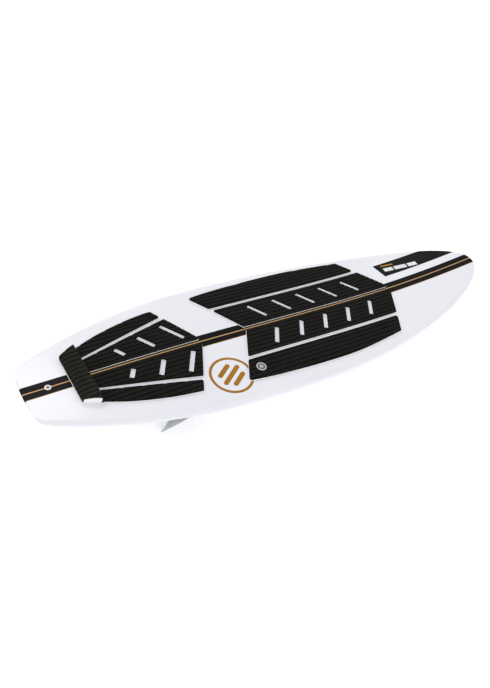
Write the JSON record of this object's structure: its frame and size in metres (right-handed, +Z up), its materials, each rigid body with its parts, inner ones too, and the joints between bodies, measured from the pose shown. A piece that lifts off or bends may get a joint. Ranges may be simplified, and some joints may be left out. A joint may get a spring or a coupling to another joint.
{
  "type": "wake surf board",
  "caption": "Wake surf board with foam core, wood stringer, glass shells, grooved traction pads with a tail kick, a vent plug and removable tabbed fins.",
  "frame": {"origin": "under the middle of the board, at the height of the fin tips", "axes": "+X towards the nose, +Y to port, +Z up from the deck"},
  "size_m": [1.6752, 0.5018, 0.1881],
  "materials": {
    "deck_gel_coat": "gloss polyester over glass laminate",
    "bottom_gel_coat": "gloss polyester over glass laminate",
    "eps_foam": "moulded bead foam",
    "paulownia_wood": "sawn",
    "pale_eva_foam": "skived closed-cell foam",
    "black_eva_foam": "grooved closed-cell foam",
    "black_film": "printed under gloss clear coat",
    "gold_film": "printed under gloss clear coat",
    "pale_film": "printed under gloss clear coat",
    "silver_badge": "brushed",
    "fin_composite": "glass and honeycomb laminate",
    "plug_nylon": "moulded",
    "stainless_steel": "turned",
    "vent_acetal": "moulded",
    "vent_screw_plastic": "moulded",
    "nitrile_rubber": "moulded"
  },
  "bodies": {
    "board": {"bottom_shell": "bottom_gel_coat", "centre_fin_plugs": "plug_nylon", "centre_stripe": "black_film", "deck_emblem": "gold_film", "deck_shell": "deck_gel_coat", "foam_core_port": "eps_foam", "foam_core_starboard": "eps_foam", "front_inner_pad_backing_port": "pale_eva_foam", "front_inner_pad_backing_starboard": "pale_eva_foam", "front_inner_pad_port": "black_eva_foam", "front_inner_pad_starboard": "black_eva_foam", "front_outer_pad_backing_port": "pale_eva_foam", "front_outer_pad_backing_starboard": "pale_eva_foam", "front_outer_pad_port": "black_eva_foam", "front_outer_pad_starboard": "black_eva_foam", "grub_screws": "stainless_steel", "kick_block": "pale_eva_foam", "kick_sheet": "black_eva_foam", "nose_panel": "black_film", "nose_panel_bars": "pale_film", "nose_panel_gold_bar": "gold_film", "pad_badge": "silver_badge", "pinstripe": "gold_film", "port_fin_plugs": "plug_nylon", "rear_inner_pad_backing_port": "pale_eva_foam", "rear_inner_pad_backing_starboard": "pale_eva_foam", "rear_inner_pad_port": "black_eva_foam", "rear_inner_pad_starboard": "black_eva_foam", "rear_outer_pad_backing_port": "pale_eva_foam", "rear_outer_pad_backing_starboard": "pale_eva_foam", "rear_outer_pad_port": "black_eva_foam", "rear_outer_pad_starboard": "black_eva_foam", "starboard_fin_plugs": "plug_nylon", "stringer": "paulownia_wood", "vent_plug": "vent_acetal"},
    "port_fin": {"port_fin": "fin_composite"},
    "starboard_fin": {"starboard_fin": "fin_composite"},
    "centre_fin": {"centre_fin": "fin_composite"},
    "vent_seal": {"vent_o_ring": "nitrile_rubber"},
    "vent_screw": {"vent_screw": "vent_screw_plastic"}
  },
  "joints": [
    {"name": "port_fin_slide", "type": "slide", "parent": "board", "child": "port_fin", "axis": [0, 0.0698, -0.9976], "range_m": [0, 0.02]},
    {"name": "starboard_fin_slide", "type": "slide", "parent": "board", "child": "starboard_fin", "axis": [0, -0.0698, -0.9976], "range_m": [0, 0.02]},
    {"name": "centre_fin_slide", "type": "slide", "parent": "board", "child": "centre_fin", "axis": [-0.0369, 0, -0.9993], "range_m": [0, 0.02]},
    {"name": "vent_lift", "type": "slide", "parent": "board", "child": "vent_seal", "axis": [0, 0, 1], "range_m": [0, 0.004]},
    {"name": "vent_turn", "type": "hinge", "parent": "vent_seal", "child": "vent_screw", "pos_m": [-0.769, 0, 0.11443], "axis": [0, 0, 1], "range_deg": [0, 1440]}
  ],
  "couplings": [
    {"joint": "vent_turn", "follows": "vent_lift", "rad_per_m": 6283.2}
  ]
}
